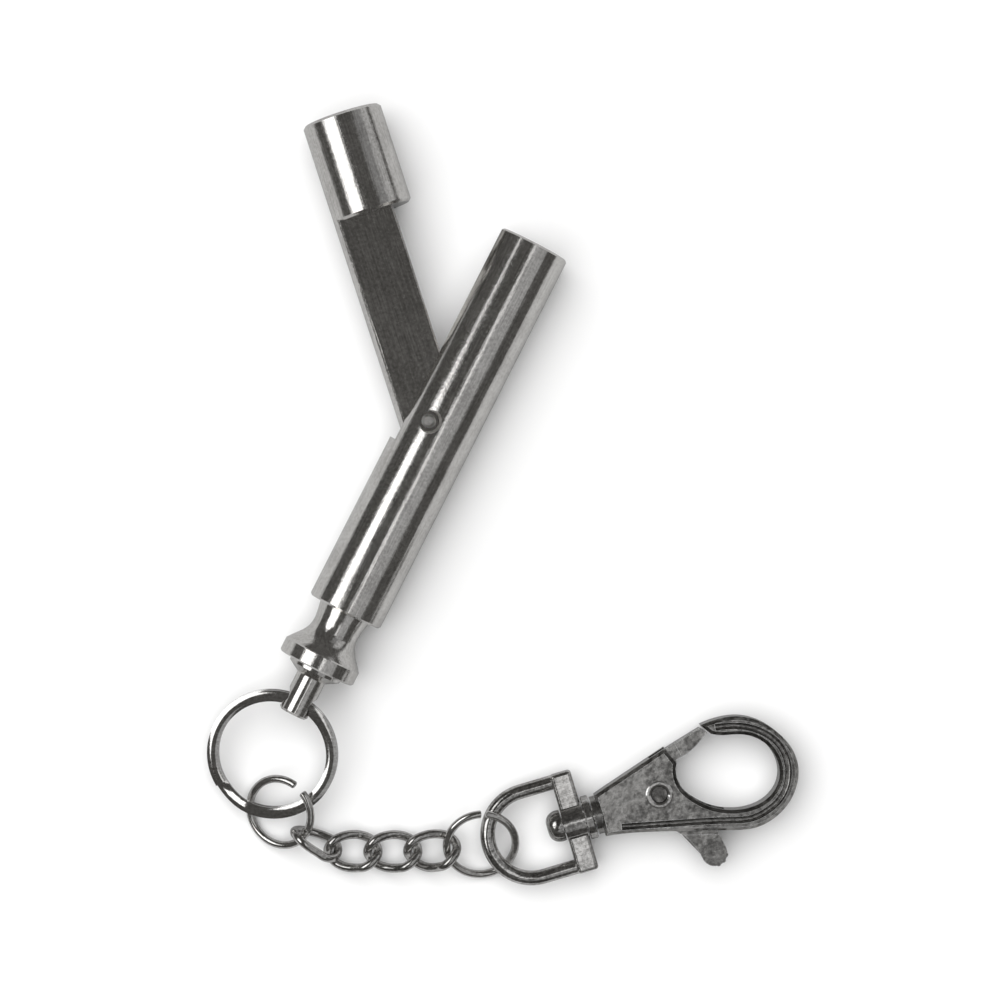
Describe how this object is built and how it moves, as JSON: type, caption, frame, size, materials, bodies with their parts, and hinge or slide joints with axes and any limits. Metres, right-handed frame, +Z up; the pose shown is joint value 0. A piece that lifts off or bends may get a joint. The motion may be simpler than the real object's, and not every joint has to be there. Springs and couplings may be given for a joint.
{
  "type": "folding pocket tool on a key chain",
  "caption": "Chromed folding pocket tool: slotted barrel with a swing-out headed arm, pull-out knob, key ring, short curb chain and swivel trigger snap hook.",
  "frame": {"origin": "centre of the layout's footprint, on the surface it lies on", "axes": "+Y along the layout's longest extent, from the snap hook's end of the layout towards the swing arm's head; +Z up, away from the surface; +X towards the snap hook's nose"},
  "size_m": [0.076, 0.1004, 0.0104],
  "materials": {
    "bright_chrome": "polished, with long straight reflections",
    "ring_chrome": "polished wire",
    "chain_chrome": "polished wire, slightly darker",
    "cast_nickel": "plated casting, slightly grained",
    "spring_steel": "plain wire",
    "brass_bush": "machined"
  },
  "bodies": {
    "barrel": {"barrel": "bright_chrome", "pivot_pin": "bright_chrome", "end_bush": "brass_bush"},
    "arm": {"swing_arm": "bright_chrome"},
    "knob": {"knob": "bright_chrome", "pick": "bright_chrome"},
    "key_ring": {"split_ring": "ring_chrome"},
    "first_ring": {"open_jump_ring": "ring_chrome"},
    "link_1": {"chain_link_1": "chain_chrome"},
    "link_2": {"chain_link_2": "chain_chrome"},
    "link_3": {"chain_link_3": "chain_chrome"},
    "link_4": {"chain_link_4": "chain_chrome"},
    "second_ring": {"end_jump_ring": "ring_chrome"},
    "bow": {"swivel_bow": "cast_nickel"},
    "hook": {"hook_body": "cast_nickel", "swivel_post": "cast_nickel", "swivel_washer": "cast_nickel", "lever_rivet": "ring_chrome", "lever_spring": "spring_steel"},
    "trigger": {"trigger_lever": "cast_nickel"}
  },
  "joints": [
    {"name": "arm_fold", "type": "hinge", "parent": "barrel", "child": "arm", "pos_m": [-0.00936, 0.00947, 0.0052], "axis": [0, 0, 1], "range_deg": [-45, 45]},
    {"name": "knob_draw", "type": "slide", "parent": "barrel", "child": "knob", "axis": [-0.454, -0.891, 0], "range_m": [0, 0.016]},
    {"name": "key_ring_swing", "type": "hinge", "parent": "knob", "child": "key_ring", "pos_m": [-0.02609, -0.02645, 0.0052], "axis": [-0.891, 0.454, 0], "range_deg": [-79, 100]},
    {"name": "first_ring_round_key_ring", "type": "hinge", "parent": "key_ring", "child": "first_ring", "pos_m": [-0.02953, -0.03321, 0.00379], "axis": [-0.0827, -0.1624, 0.9833], "range_deg": [-60, 30]},
    {"name": "link_1_turn", "type": "hinge", "parent": "first_ring", "child": "link_1", "pos_m": [-0.02611, -0.0435, 0.00319], "axis": [0, 0, 1], "range_deg": [-15, 15]},
    {"name": "link_2_turn", "type": "hinge", "parent": "link_1", "child": "link_2", "pos_m": [-0.02179, -0.04561, 0.00234], "axis": [0, 0, 1], "range_deg": [-15, 15]},
    {"name": "link_3_turn", "type": "hinge", "parent": "link_2", "child": "link_3", "pos_m": [-0.0167, -0.04598, 0.00201], "axis": [0, 0, 1], "range_deg": [-15, 15]},
    {"name": "link_4_turn", "type": "hinge", "parent": "link_3", "child": "link_4", "pos_m": [-0.01156, -0.04598, 0.00205], "axis": [0, 0, 1], "range_deg": [-15, 15]},
    {"name": "second_ring_turn", "type": "hinge", "parent": "link_4", "child": "second_ring", "pos_m": [-0.00651, -0.04552, 0.00283], "axis": [0, 0, 1], "range_deg": [-15, 15]},
    {"name": "bow_round_ring", "type": "hinge", "parent": "second_ring", "child": "bow", "pos_m": [0.00375, -0.04361, 0.0029], "axis": [0, 0, 1], "range_deg": [-30, 30]},
    {"name": "hook_swivel", "type": "hinge", "parent": "bow", "child": "hook", "pos_m": [0.01008, -0.04173, 0.0029], "axis": [0.9588, 0.284, 0], "continuous": true},
    {"name": "trigger_pull", "type": "hinge", "parent": "hook", "child": "trigger", "pos_m": [0.02013, -0.03834, 0.0029], "axis": [0, 0, 1], "range_deg": [-35, 0], "stiffness_Nm_per_rad": 0.01, "springref_deg": 28.65, "deforming": ["lever_spring"]}
  ]
}
